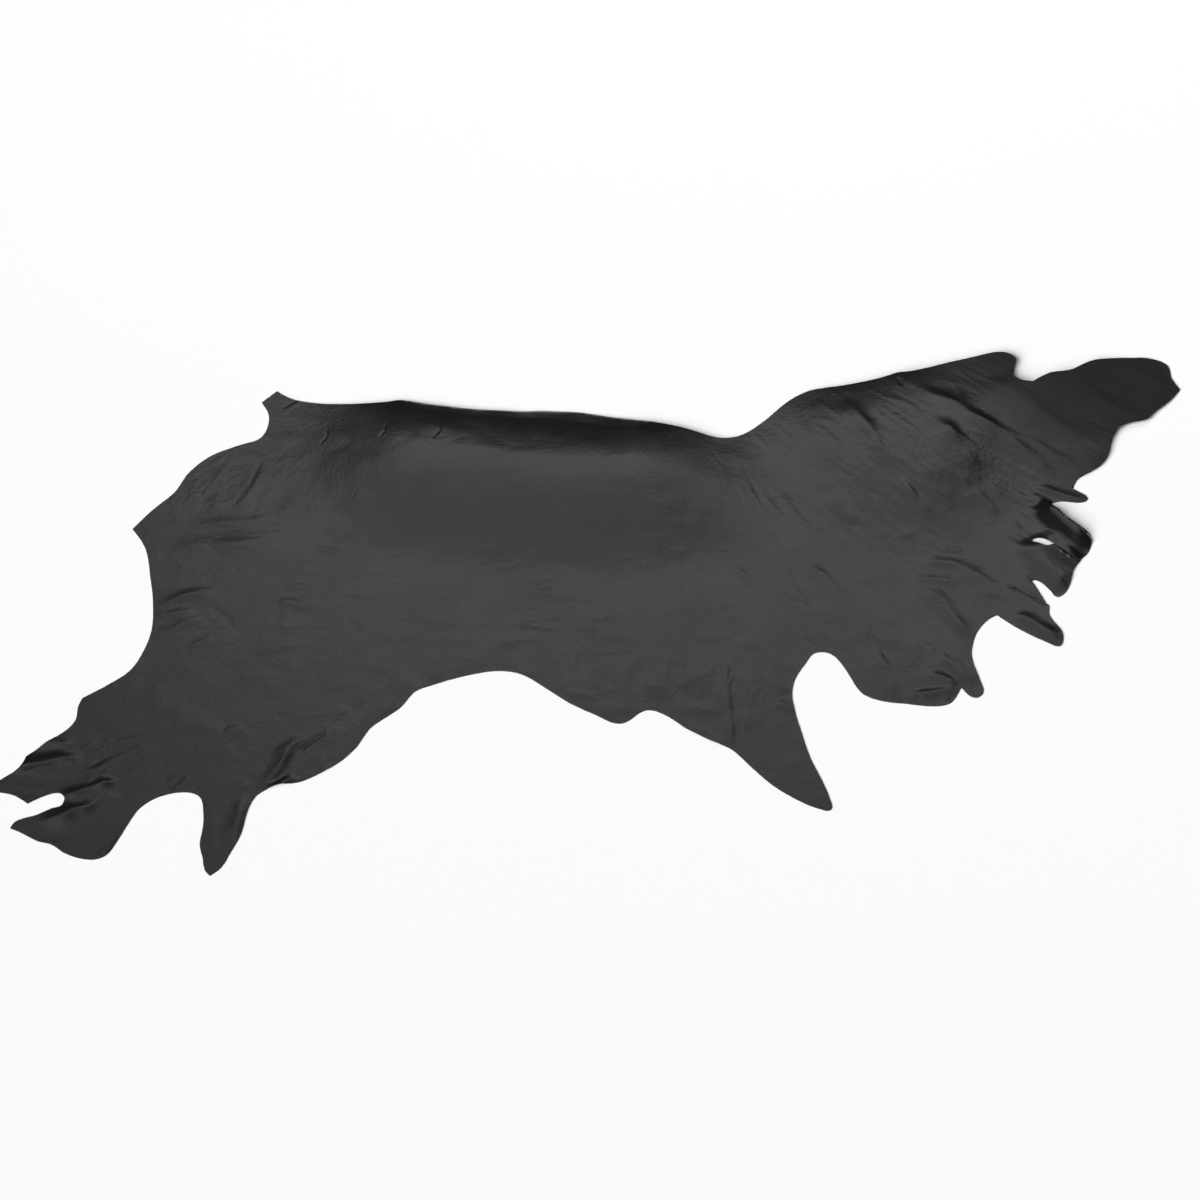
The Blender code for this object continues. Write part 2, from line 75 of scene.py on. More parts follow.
# Folds of the whole sheet, drawn as smooth lines along their crests in millimetres, from left to right or
# from the back down. Columns: name, points, height, and how far the fold falls away left and right.
folds = [
    ("neck 1", [(495, 345), (522, 292), (550, 245)], 2.2, 24, 45),
    ("neck 2", [(512, 605), (556, 534), (588, 470), (606, 435), (630, 398)], 3.0, 28, 60),
    ("neck 2 lower", [(628, 380), (650, 337), (674, 298), (698, 260)], 2.2, 20, 30),
    ("neck 3", [(700, 552), (735, 505), (760, 462), (775, 430), (795, 398)], 3.0, 28, 60),
    ("neck 3 lower", [(772, 350), (794, 326), (812, 303), (830, 272)], 1.2, 17, 28),
    ("neck 4", [(620, 650), (690, 613), (752, 572), (797, 537), (842, 497), (872, 462), (912, 422),
                (942, 388), (972, 355)], 3.2, 28, 55),
    ("neck 4 far", [(872, 500), (905, 480), (940, 449), (975, 423), (995, 402)], 1.8, 20, 26),
    ("neck 5", [(812, 662), (870, 605), (920, 558), (960, 520), (1000, 488), (1046, 448)], 3.0, 32, 55),
    ("jaw", [(1008, 632), (1040, 605), (1065, 582), (1090, 563), (1134, 540)], 2.8, 26, 46),
    ("nose", [(1060, 706), (1115, 688), (1155, 664), (1192, 640)], 1.6, 40, 50),
    ("collar", [(612, 214), (643, 222), (670, 238)], 0.8, 14, 25),
    ("collar lower", [(708, 190), (735, 184), (758, 172)], 0.8, 12, 22),
    ("cheek swell", [(798, 366), (845, 344), (878, 326), (906, 312)], 1.0, 22, 30),
    ("curled flap slit edge", [(922, 245), (948, 210), (975, 178), (998, 154)], 2.4, 16, 14),
    ("ear flap", [(894, 366), (932, 344), (965, 334), (1016, 329)], 3.4, 24, 12),
    ("ear root", [(896, 342), (914, 324), (930, 306)], 1.6, 11, 16),

    ("long flap", [(850, 10), (900, -30), (960, -75)], 3.0, 30, 30),
    ("throat 1", [(640, 142), (700, 147), (750, 138), (777, 118), (802, 92), (818, 55),
                  (830, 20)], 1.4, 24, 32),
    ("throat 1 lower", [(645, 102), (700, 98), (758, 90)], 1.1, 28, 26),
    ("throat 2", [(652, 82), (672, 72), (704, 46), (736, 0), (760, -48), (775, -92)], 2.2, 27, 34),
    ("breast 1", [(598, 32), (622, -12), (645, -62), (662, -112), (670, -140)], 0.8, 22, 30),
    ("breast 2", [(540, 55), (558, -18), (573, -80)], 0.7, 18, 24),
    ("breast 3", [(578, -108), (596, -158), (610, -193), (626, -244)], 1.4, 24, 34),
    ("elbow", [(428, 152), (474, 110), (498, 70), (524, 28)], 0.7, 18, 26),
    ("shoulder", [(292, 142), (320, 112), (346, 78)], 0.5, 16, 22),
    ("brisket 1", [(686, -162), (718, -184), (750, -202)], 2.4, 20, 16),
    ("brisket 2", [(636, -232), (688, -224), (722, -214), (754, -204)], 2.2, 16, 18),
    ("brisket lobe", [(704, -108), (740, -154), (768, -184), (788, -202)], 2.0, 46, 24),
    ("fore shank 1", [(378, -172), (391, -200), (404, -226)], 1.5, 18, 22),
    ("fore shank 2", [(382, -240), (404, -260), (424, -276)], 1.2, 14, 20),
    ("axilla front", [(312, -140), (320, -230), (326, -340)], 1.5, 58, 22),
    ("axilla back", [(270, -95), (279, -165), (285, -230), (289, -290), (292, -392)], 1.8, 16, 34),
    ("belly 1", [(122, -72), (137, -145), (140, -205), (140, -268)], 1.1, 46, 38),
    ("belly 2", [(76, -130), (81, -205), (86, -300)], 0.8, 26, 42),
    ("belly 3", [(180, -222), (204, -184), (240, -168), (276, -182)], 0.8, 22, 34),
    ("belly 4", [(190, -262), (238, -268), (284, -274)], 0.7, 22, 28),
    ("belly 5", [(-40, -226), (0, -230), (36, -244)], 1.0, 18, 26),
    ("belly 6", [(-302, -100), (-304, -150), (-306, -200)], 0.7, 26, 28),
    ("belly 7", [(-250, -92), (-250, -140), (-248, -182)], 0.6, 24, 28),
    ("belly 8", [(-457, -160), (-451, -215), (-449, -275)], 0.8, 28, 26),
    ("belly 9", [(-372, -70), (-369, -150), (-362, -232)], 0.9, 26, 40),
    ("belly edge", [(188, -318), (238, -352), (292, -378)], 1.8, 28, 14),
    ("back 1", [(-130, 52), (-95, 58), (-55, 69)], 0.5, 16, 22),
    ("back 2", [(-125, 87), (-90, 93), (-45, 104)], 0.5, 18, 17),
    ("back 3", [(-150, -30), (-110, -31), (-75, -38), (-40, -43)], 0.6, 15, 13),
    ("back 4", [(-182, -80), (-130, -73), (-82, -73)], 0.6, 28, 24),
    ("back 5", [(-18, -29), (5, -42), (28, -54)], 0.5, 14, 18),
    ("back 6", [(148, 168), (180, 171), (214, 177)], 0.4, 12, 16),
    ("rump", [(-806, 244), (-747, 256), (-700, 260), (-650, 268), (-604, 276)], 1.2, 26, 18),
    ("rump swell", [(-850, 178), (-780, 190), (-720, 196), (-650, 212), (-592, 228)], 1.5, 46, 64),
    ("tail 1", [(-622, 440), (-647, 400), (-660, 372), (-674, 338), (-688, 303), (-704, 272)], 1.1, 28, 42),
    ("tail 2", [(-600, 428), (-619, 382), (-632, 345), (-648, 310), (-666, 270)], 0.7, 20, 26),
    ("tail 3", [(-566, 358), (-587, 318), (-602, 288), (-622, 256)], 0.5, 24, 26),
    ("tail 4", [(-727, 350), (-741, 322), (-750, 296)], 0.4, 16, 22),
    ("tail 5", [(-782, 358), (-794, 322), (-801, 290)], 0.4, 18, 26),
    ("pin bone 1", [(-870, 15), (-836, 31), (-808, 45), (-782, 58), (-760, 68), (-738, 88)], 1.5, 22, 20),
    ("pin bone 2", [(-870, -4), (-838, 0), (-808, 5), (-772, 0)], 1.0, 12, 20),
    ("pin bone 3", [(-868, -56), (-825, -43), (-800, -24), (-775, -13), (-746, -4)], 0.9, 18, 28),
    ("pin bone 4", [(-798, -96), (-768, -82), (-738, -66)], 0.9, 14, 20),
    ("thigh 1", [(-590, 127), (-555, 136), (-530, 136), (-500, 129)], 0.6, 22, 30),
    ("thigh 1 upper", [(-550, 187), (-515, 178), (-480, 169)], 0.7, 16, 20),
    ("thigh 2", [(-630, 34), (-590, 32), (-565, 25), (-524, 14)], 0.9, 30, 32),
    ("thigh 2 upper", [(-616, 58), (-594, 71), (-568, 77), (-548, 75), (-526, 58)], 0.5, 13, 15),
    ("thigh 3", [(-674, -106), (-636, -96), (-607, -93), (-562, -94)], 0.8, 30, 34),
    ("thigh 4", [(-700, -198), (-665, -182), (-612, -171)], 0.6, 26, 30),
    ("thigh 5", [(-586, 26), (-598, -15), (-605, -60)], 0.6, 14, 18),
    ("thigh 6", [(-470, 10), (-450, -20), (-433, -50)], 0.6, 14, 20),
    ("flank 1", [(-650, -506), (-630, -468), (-608, -434), (-600, -412), (-586, -380),
                 (-568, -360), (-550, -345), (-524, -318)], 2.2, 32, 16),
    ("flank 2", [(-704, -508), (-686, -492), (-668, -468)], 1.3, 18, 20),
    ("flank 3", [(-624, -392), (-598, -378), (-580, -362), (-560, -343)], 0.8, 26, 20),
    ("flank 4", [(-510, -296), (-492, -282), (-470, -264)], 1.0, 18, 20),
    ("flank 5", [(-720, -341), (-702, -327), (-676, -320)], 1.0, 14, 16),
    ("flank edge", [(-636, -502), (-600, -476), (-568, -456)], 4.0, 17, 9),
    ("flank edge 2", [(-560, -470), (-524, -446), (-496, -424)], 1.3, 18, 12),
    ("flank flap 1", [(-684, -498), (-687, -545), (-692, -590), (-700, -655)], 3.0, 26, 30),
    ("flank flap 2", [(-745, -524), (-739, -570), (-737, -620), (-740, -712)], 1.2, 24, 22),
    ("hind shank 1", [(-1110, -362), (-1060, -364), (-1010, -384)], 3.4, 30, 26),
    ("hind shank 2", [(-1160, -440), (-1090, -426), (-1055, -419), (-985, -408)], 6.2, 40, 22),
    ("hind shank 3", [(-1128, -456), (-1081, -448), (-1042, -444), (-1000, -430),
                      (-968, -420)], 1.6, 20, 24),
    ("hind shank 4", [(-1014, -452), (-984, -436), (-948, -424), (-921, -403), (-890, -390)], 1.4, 16, 20),
    ("hind shank 5", [(-1000, -470), (-969, -448), (-944, -440)], 1.4, 14, 18),
    ("hind shank 6", [(-1052, -516), (-1026, -511), (-1010, -503), (-985, -488), (-960, -480),
                      (-928, -464)], 4.6, 30, 30),
    ("hind shank 7", [(-1096, -598), (-1056, -582), (-1036, -570), (-1018, -554), (-994, -544),
                      (-976, -530), (-946, -520), (-924, -498)], 5.6, 42, 44),
]
# Wider forms. Columns: name, points, height, reach left and right, the share of their length over which
# they die out, and how round the left side is: 0 falls straight from the crest and 1 rolls over.
rolls = [
    ("back edge", [(-600, 500), (-330, 474), (-50, 426), (140, 432), (370, 500)], 25, 165, 340, 0.3, 0.8),
    ("poll", [(380, 440), (600, 500), (840, 520)], 8, 200, 360, 0.35, 1),
    ("muzzle", [(520, 830), (790, 555), (985, 400)], 17, 330, 480, 0.42, 0.9),
    ("nose", [(920, 740), (1000, 610), (1058, 520), (1120, 425)], 11, 190, 240, 0.2, 0.8),
    ("lower cheek", [(884, 222), (910, 174), (928, 140), (948, 108), (966, 62)], 7, 80, 56, 0.25, 0.15),
]
# Far edges that bend down further. Columns: name, points, drop and how far it reaches to the left.
rims = [
    ("back rim", [(-440, 572), (-250, 548), (-60, 536), (60, 516), (200, 496)], 6.0, 50),
    ("muzzle rim", [(905, 745), (1040, 712), (1130, 694)], 5.0, 40),
]
# A cut edge that curls up steeply from the sheet. Columns: name, points, height, reach left and right.
curls = [
    ("curled flap", [(912, 324), (968, 254), (1022, 190)], 20, 12, 46),
]
# Creases, nicks and scratches in the grain alone. Columns: name, points, depth, half width of the trough
# and height of the lip on its right.
creases = [
    ("shoulder line", [(300, 480), (330, 380), (358, 295), (386, 208), (410, 140), (432, 70),
                       (465, -20), (485, -75)], 0.3, 3.2, 0.1),
    ("breast line", [(416, 211), (470, 138), (528, 61), (544, 33), (584, -78),
                     (622, -191)], 0.28, 3.6, 0.1),
    ("shoulder 2", [(274, 180), (320, 122), (370, 61)], 0.15, 4.0, 0.05),
    ("back nick 1", [(-536, 475), (-528, 484), (-521, 494), (-518, 505), (-520, 527)], 0.9, 1.4, 0.15),
    ("back nick 2", [(-417, 481), (-408, 492), (-403, 503), (-402, 527)], 0.9, 1.4, 0.15),
    ("back nick 3", [(-307, 474), (-297, 487), (-290, 500), (-288, 527)], 0.9, 1.6, 0.15),
    ("below nick 1", [(-528, 446), (-500, 461), (-458, 491)], 0.25, 8, 0.05),
    ("below nick 2", [(-410, 446), (-380, 462), (-338, 492)], 0.25, 8, 0.05),
    ("below nick 3", [(-302, 446), (-270, 464), (-224, 491)], 0.3, 8, 0.05),
    ("tail tab", [(-610, 582), (-592, 598), (-576, 612)], 0.9, 3.0, 0.4),
    ("tail line", [(-648, 442), (-660, 407), (-670, 373), (-680, 345)], 0.6, 3.5, 0.1),
    ("nose nick", [(1014, 445), (1021, 438), (1028, 431)], 1.0, 3.5, 0.3),
    ("jaw line", [(1003, 548), (1026, 530), (1062, 508)], 0.6, 4.5, 0.1),
    ("neck nick", [(572, 343), (591, 318)], 0.7, 4.0, 0.1),
    ("neck line", [(462, 545), (500, 500), (522, 466)], 0.5, 5.0, 0.1),
    ("collar line", [(646, 452), (670, 447), (694, 452)], 0.45, 5.0, 0.1),
    ("poll nick", [(630, 655), (638, 628)], 0.7, 3.5, 0.3),
    ("cheek line 1", [(938, 117), (952, 103)], 0.8, 3.5, 0.2),
    ("cheek line 2", [(950, 101), (968, 85)], 0.7, 3.5, 0.2),
    ("notch tick", [(886, 106), (899, 96)], 1.0, 3.5, 0.2),
    ("gash", [(844, 86), (862, 69), (892, 42)], 1.0, 4.0, 0.1),
    ("breast nick 1", [(443, -72), (457, -98)], 0.6, 6.0, 0.1),
    ("breast nick 2", [(478, -66), (492, -104)], 0.6, 5.0, 0.1),
    ("breast nick 3", [(518, -96), (532, -154)], 0.5, 5.0, 0.1),
    ("brisket tick 1", [(628, -238), (633, -252)], 0.9, 3.5, 0.1),
    ("brisket tick 2", [(663, -228), (668, -243)], 0.9, 3.5, 0.1),
    ("brisket line", [(742, -226), (719, -253)], 0.9, 4.5, 0.2),
    ("axilla line", [(284, -150), (290, -205), (295, -255), (298, -305), (300, -392)], 0.5, 3.5, 0.1),
    ("belly scratch", [(172, -233), (181, -211)], -0.5, 2.5, 0.0),
    ("belly arc", [(122, -88), (142, -84), (164, -98), (172, -110)], -0.3, 4.0, 0.0),
    ("rump scratch", [(-474, 316), (-457, 340)], 0.2, 2.5, 0.05),
    ("pin bone line", [(-757, 24), (-735, 8), (-716, -14), (-704, -44)], 0.6, 8.0, 0.1),
    ("flank crack", [(-570, -391), (-554, -371), (-531, -349), (-520, -338), (-520, -324),
                     (-524, -310)], 1.0, 2.8, 0.4),
    ("flank tick 1", [(-772, -486), (-769, -494)], 1.0, 3.0, 0.1),
    ("flank tick 2", [(-759, -532), (-757, -541)], 1.0, 3.0, 0.1),
    ("shank edge", [(-918, -606), (-931, -636), (-943, -657), (-957, -678)], 0.9, 3.0, 0.2),
    ("shank line", [(-952, -640), (-966, -664), (-981, -684)], 0.4, 3.5, 0.1),
    ("shank nick", [(-1053, -627), (-1059, -642)], 0.9, 3.0, 0.1),
    ("hock nick", [(-850, -508), (-836, -504)], 1.0, 3.0, 0.2),
    ("hock line 1", [(-832, -505), (-811, -477), (-791, -446)], 0.6, 3.0, 0.1),
    ("hock line 2", [(-838, -479), (-818, -443)], 0.4, 3.0, 0.1),
]
# Small wrinkles of loose skin, in patches. Columns: centre, reach along x and y, the direction in degrees
# or the point that they fan out from, wavelength, height.
wrinkles = [
    ((850, 450), (330, 300), (-132, 1280), 30, 1.1),
    ((850, 430), (330, 300), (-132, 1280), 15, 0.4),
    ((620, -40), (260, 240), (-132, 1280), 26, 0.7),
    ((560, 400), (300, 260), (-132, 1280), 34, 0.9),
    ((-980, -440), (250, 190), 24, 24, 0.9),
    ((-600, 60), (330, 260), 6, 30, 0.3),
    ((-690, 380), (150, 130), 60, 22, 0.6),
    ((-600, -380), (170, 140), 50, 18, 0.6),
    ((-715, -600), (80, 140), 84, 17, 0.5),
    ((0, -200), (420, 110), 82, 44, 0.8),
    ((-400, -180), (130, 150), 76, 36, 0.8),
    ((250, -230), (160, 150), 80, 30, 0.7),
    ((50, 60), (480, 230), 5, 44, 0.35),
]
# Slits whose far side lies on top. Columns: name, points to the open end, lift of the far side, how far
# the near side slides under it, and how far around the slit the sheet gives.
laps = [
    ("cheek slit", [(936, 197), (963, 171), (990, 143)], 3.0, 15.0, 34),
    ("small flap slit", [(850, 80), (878, 56), (902, 34), (922, 15)], 1.6, 14.0, 26),
]
# Rubbed and crackled places. Columns: x, y, reach along x and y, strength.
rubs = [
    (240, 95, 95, 80, 0.3),
    (110, 150, 40, 22, 0.4),
    (-488, -312, 42, 24, 0.8),
    (-700, -570, 26, 60, 0.25),
    (1000, 470, 60, 22, 0.5),
    (-365, -40, 26, 26, 0.4),
]
wrinkleForm = {
    "fanStretch": 0.13,       # how slowly wrinkles change along their run, where they fan out
    "stretch": 0.2,           # and where they run side by side
    "crest": 0.8,             # width of their crests
    "patch": 160,             # size of the patches in which they come and go
}
# The firm back, where the grain is tight out to this share of the reach and loose at twice that share
firmBack = {"centre": (-170, 260), "reach": (560, 300), "share": 0.75}
# The head, where the finish turns matt along a direction, from before the centre on and over a length
mattHead = {"centre": (930, 597), "way": (0.77, 0.64), "before": 190, "length": 300}
# Torn fibres beside the first slit: how far left of it they lie, their half width and their reach
tornEdge = {"off": -11, "halfWidth": 3.5, "reach": 24}


def waves(places, wavelength, seed):      # smooth uneven heights, about -1 to 1, over one wavelength
    draw = np.random.default_rng(seed)
    turns = draw.uniform(0, 2 * math.pi, 14)
    sizes = wavelength * draw.uniform(0.7, 1.6, 14)
    starts = draw.uniform(0, 2 * math.pi, 14)
    total = np.zeros(len(places))
    for turn, size, start in zip(turns, sizes, starts):
        along = places[:, 0] * math.cos(turn) + places[:, 1] * math.sin(turn)
        total += np.sin(2 * math.pi / size * along + start)
    return total / math.sqrt(14)


def heading(before, here, after, straight):    # direction of a curve at one of its points
    back, ahead = before - here, after - here
    if back.length == 0 or ahead.length == 0:
        return straight.normalized()
    if ahead.angle(-back) > math.radians(sheetSizes["cornerTurn"]):
        return straight.normalized()
    return (ahead.normalized() - back.normalized()).normalized()


def smoothLine(points, step, closed=False):    # even points on a smooth curve through the given ones
    drawn = [Vector(place) for place in points]
    count = len(drawn)
    line = []
    for i in range(count if closed else count - 1):
        start, end = drawn[i], drawn[(i + 1) % count]
        before = drawn[i - 1] if closed or i > 0 else start
        after = drawn[(i + 2) % count] if closed or i + 2 < count else end
        reach = (end - start).length / 3
        leaving = start + heading(before, start, end, end - start) * reach
        arriving = end - heading(start, end, after, end - start) * reach
        steps = max(1, math.ceil((end - start).length / step))
        line.extend(interpolate_bezier(start, leaving, arriving, end, steps + 1)[:-1])
    if not closed:
        line.append(drawn[-1])
    return np.array([(place.x, place.y) for place in line])


def besideLine(places, line, reach):    # places near a line, how far left of it they lie, how far along
    near = np.flatnonzero(((places > line.min(0) - reach) & (places < line.max(0) + reach)).all(1))
    step = np.diff(line, axis=0)
    length = np.hypot(step[:, 0], step[:, 1])
    away = places[near, None] - line[:-1]
    share = np.clip((away * step).sum(2) / length ** 2, 0, 1)
    across = away - step * share[..., None]
    gap = np.hypot(across[..., 0], across[..., 1])
    best = gap.argmin(1)
    row = np.arange(len(near))
    side = step[best, 0] * across[row, best, 1] - step[best, 1] * across[row, best, 0]
    along = (np.cumsum(length)[best] - length[best] * (1 - share[row, best])) / length.sum()
    return near, gap[row, best] * np.where(side > 0, 1, -1), along


def fadedEnds(along, taper):     # from 0 at both ends to 1 in the middle
    return np.sin(math.pi / 2 * np.minimum(np.minimum(along, 1 - along) / taper, 1)) ** 2


def reachOf(off, left, right):    # how far out a place lies, 0 on the line and 1 where the fold ends
    return np.minimum(np.abs(off) / np.where(off > 0, left, right), 1)


def eased(share):                # smoothly from 0 to 1
    share = np.clip(share, 0, 1)
    return share ** 2 * (3 - 2 * share)


def smallWrinkles(places):       # fine folds that run one way, with crisp crests and broad hollows
    height = np.zeros(len(places))
    for number, (centre, reach, way, wavelength, crest) in enumerate(wrinkles):
        away = np.hypot(*((places - centre) / reach).T)
        if isinstance(way, tuple):
            spread = places - way
            runs = np.stack((np.hypot(*spread.T) * wrinkleForm["fanStretch"],
                             np.arctan2(*spread.T) * math.dist(centre, way)), axis=1)
        else:
            turn = math.radians(way)
            runs = np.stack((places @ (math.cos(turn), math.sin(turn)) * wrinkleForm["stretch"],
                             places @ (-math.sin(turn), math.cos(turn))), axis=1)
        crisp = np.clip(1 - np.abs(waves(runs, wavelength, 40 + number)) / wrinkleForm["crest"], 0, 1) ** 2
        patch = np.clip(waves(places, wrinkleForm["patch"], 60 + number) * 0.6 + 0.5, 0, 1)
        height += crest * crisp * patch * np.clip((1.15 - away) / 0.5, 0, 1)
    return height


def foldHeights(places):         # how high the whole sheet is lifted at each place
    stray = np.stack([waves(places, sheetSizes["wanderLength"], seed) for seed in (3, 4)], axis=1)
    moved = places + stray * sheetSizes["wander"]
    height = np.zeros(len(places))
    rounding = sheetSizes["crestRound"]
    for number, (name, points, crest, left, right) in enumerate(folds):
        near, off, along = besideLine(moved, smoothLine(points, 8), max(left, right) + rounding)
        softOff = np.sign(off) * (np.hypot(off, rounding) - rounding)
        profile = (1 - reachOf(softOff, left, right)) ** 2
        wave = waves(moved[near], sheetSizes["unevenLength"], 20 + number % 3)
        uneven = 1 + sheetSizes["uneven"] * wave
        height[near] += crest * uneven * fadedEnds(along, tapers["fold"]) * profile
    for name, points, crest, left, right, taper, roundness in rolls:
        near, off, along = besideLine(moved, smoothLine(points, 12), max(left, right))
        share = reachOf(off, left, right)
        fall = (1 - roundness) * share + roundness * share ** 2
        profile = np.where(off > 0, 1 - fall, np.cos(math.pi / 2 * share) ** 2)
        height[near] += crest * fadedEnds(along, taper) * profile
    flat = sheetSizes["curlFlat"]
    for name, points, crest, left, right in curls:
        near, off, along = besideLine(moved, smoothLine(points, 8), max(left, right))
        share = reachOf(np.where(off > 0, off, np.minimum(off + flat, 0)), left, right - flat)
        profile = np.where(off > 0, (1 - share) ** 2, np.cos(math.pi / 2 * share) ** 2)
        height[near] += crest * fadedEnds(along, tapers["curl"]) * profile
    for name, points, drop, reach in rims:
        near, off, along = besideLine(moved, smoothLine(points, 8), reach)
        height[near] -= drop * np.clip(off / reach, 0, 1) * fadedEnds(along, tapers["rim"])
    height = np.maximum(height, 0) + smallWrinkles(places)
    swell = waves(places, 170, 11) * 0.6 + waves(places, 60, 12) * 0.4
    return height + sheetSizes["swell"] * np.maximum(swell, 0)


def lapped(places, height):      # the sheet around the slits, moved so that one side lies on the other
    places, height = places.copy(), height.copy()
    for name, points, lift, slide, reach in laps:
        line = smoothLine(points, 4)
        near, off, along = besideLine(places, line, reach)
        give = (1 - reachOf(off, reach, reach)) ** 2 * np.minimum(along / tapers["slit"], 1)
        run = (line[-1] - line[0]) / math.dist(line[0], line[-1])
        far = off > 0
        height[near] += np.where(far, lift, 0) * give
        places[near] += np.where(far, 0, slide)[:, None] * give[:, None] * np.array([-run[1], run[0]])
        height[near] *= np.where(far, 1, 1 - 0.6 * give)      # the near side is pressed down
    return places, height


def grainHeights(places):        # how deep the grain side alone dips below the sheet's own form
    height = np.zeros(len(places))
    for name, points, depth, halfWidth, lip in creases:
        near, off, along = besideLine(places, smoothLine(points, 4), halfWidth * 4)
        trough = -depth * np.exp(-(off / halfWidth) ** 2)
        raised = lip * np.exp(-((off + 1.9 * halfWidth) / halfWidth) ** 2)
        height[near] += (trough + raised) * fadedEnds(along, tapers["crease"])
    return np.maximum(height, sheetSizes["thinnest"] - sheetSizes["thickness"])


def looseness(places):           # 0 on the firm back, 1 where the grain is loose
    away = np.hypot(*((places - firmBack["centre"]) / firmBack["reach"]).T)
    return eased((away - firmBack["share"]) / firmBack["share"])


def dullness(places):            # 0 on the neck, 1 at the muzzle, where the finish is matt
    (x, y), (wayX, wayY) = mattHead["centre"], mattHead["way"]
    along = (places[:, 0] - x) * wayX + (places[:, 1] - y) * wayY
    return eased((along + mattHead["before"]) / mattHead["length"])


def rubbing(places):             # 1 where the finish is rubbed
    total = np.zeros(len(places))
    for x, y, reachX, reachY, strength in rubs:
        away = np.hypot((places[:, 0] - x) / reachX, (places[:, 1] - y) / reachY)
        total += strength * np.clip(1.3 - away, 0, 1)
    return np.clip(total, 0, 1)


def tearing(places):             # 1 along the torn edge of the slit under the curled flap
    total = np.zeros(len(places))
    near, off, along = besideLine(places, smoothLine(laps[0][1], 4), tornEdge["reach"])
    beside = np.abs(off - tornEdge["off"]) / tornEdge["halfWidth"]
    total[near] = np.clip(1.1 - beside, 0, 1) * fadedEnds(along, tapers["tear"])
    return total


def cutEdge(node):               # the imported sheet's cut edge, one smooth closed line in millimetres
    shell = bmesh.new()
    shell.from_mesh(node.data)
    bmesh.ops.remove_doubles(shell, verts=shell.verts, dist=0.02 * mm)
    shell.normal_update()
    rim = {face for face in shell.faces
           if min(edge.calc_length() for edge in face.edges) < 1.5 * sheetSizes["thickness"] * mm}
    following = {}
    for edge in shell.edges:
        grainFaces = [face for face in edge.link_faces if face not in rim and face.normal.z > 0]
        if len(grainFaces) == 1 and any(face in rim for face in edge.link_faces):
            loop = next(corner for corner in grainFaces[0].loops if corner.edge == edge)
            following[loop.vert] = loop.link_loop_next.vert
    walk = [next(iter(following))]
    while following[walk[-1]] is not walk[0]:
        walk.append(following[walk[-1]])
    points = [(vert.co.x / mm, vert.co.y / mm) for vert in walk]
    shell.free()
    return smoothLine(points, sheetSizes["edgeStep"], closed=True)


def insideEdge(spots, edge):     # which spots lie inside the cut edge
    inside = np.zeros(len(spots), bool)
    start, end = edge, np.roll(edge, -1, axis=0)
    rise = np.where(end[:, 1] == start[:, 1], 1, end[:, 1] - start[:, 1])
    for part in np.array_split(np.arange(len(spots)), 1 + len(spots) // 4000):    # to spare memory
        x, y = spots[part, 0, None], spots[part, 1, None]
        crossing = (start[:, 1] > y) != (end[:, 1] > y)
        meets = start[:, 0] + (y - start[:, 1]) / rise * (end[:, 0] - start[:, 0])
        inside[part] = (crossing & (meets > x)).sum(1) % 2 == 1
    return spots[inside]


def creaseSpots():               # rows of points along the fine creases, in the trough and on its lips
    spots = []
    for name, points, depth, halfWidth, lip in creases:
        if halfWidth > sheetSizes["fineCrease"]:
            continue
        line = smoothLine(points, sheetSizes["creaseStep"])
        step = np.gradient(line, axis=0)
        aside = np.stack((-step[:, 1], step[:, 0]), axis=1) / np.hypot(step[:, 0], step[:, 1])[:, None]
        for row in sheetSizes["creaseRows"]:
            spots.append(line + aside * row * halfWidth)
    return np.concatenate(spots)


def keptApart(fixed, spots, spacing):    # the spots that have room beside the fixed ones and each other
    cells = {}
    for place in fixed:
        cells.setdefault((int(place[0] // spacing), int(place[1] // spacing)), []).append(place)
    kept = []
    for place in spots:
        cell = (int(place[0] // spacing), int(place[1] // spacing))
        around = [other for i in (-1, 0, 1) for j in (-1, 0, 1)
                  for other in cells.get((cell[0] + i, cell[1] + j), ())]
        if all(math.hypot(place[0] - other[0], place[1] - other[1]) >= spacing for other in around):
            kept.append(place)
            cells.setdefault(cell, []).append(place)
    return np.array(kept)


def evenGrid(edge, step):        # a triangular grid of points over the sheet
    low, high = edge.min(0), edge.max(0)
    rows = np.arange(low[1], high[1], step * math.sqrt(3) / 2)
    columns = np.arange(low[0], high[0], step)
    shift = np.arange(len(rows)) % 2 * step / 2
    x = columns[None, :] + shift[:, None]
    y = np.repeat(rows[:, None], len(columns), axis=1)
    return np.stack((x.ravel(), y.ravel()), axis=1)


def surface(edge, fixed, step):  # flat triangles inside the cut edge; its first points are the edge's
    grid = insideEdge(evenGrid(edge, step), edge)
    tree = KDTree(len(fixed))
    for number, place in enumerate(fixed):
        tree.insert((place[0], place[1], 0), number)
    tree.balance()
    free = sheetSizes["freeShare"] * step
    grid = np.array([place for place in grid if tree.find((place[0], place[1], 0))[2] > free])
    spots = [Vector(place) for place in np.concatenate((fixed, grid))]
    verts, _, faces, sources, _, _ = delaunay_2d_cdt(spots, [], [list(range(len(edge)))], 1, 1e-4)
    order = {source: made for made, merged in enumerate(sources) for source in merged}
    return np.array([(vert.x, vert.y) for vert in verts]), faces, [order[i] for i in range(len(edge))]


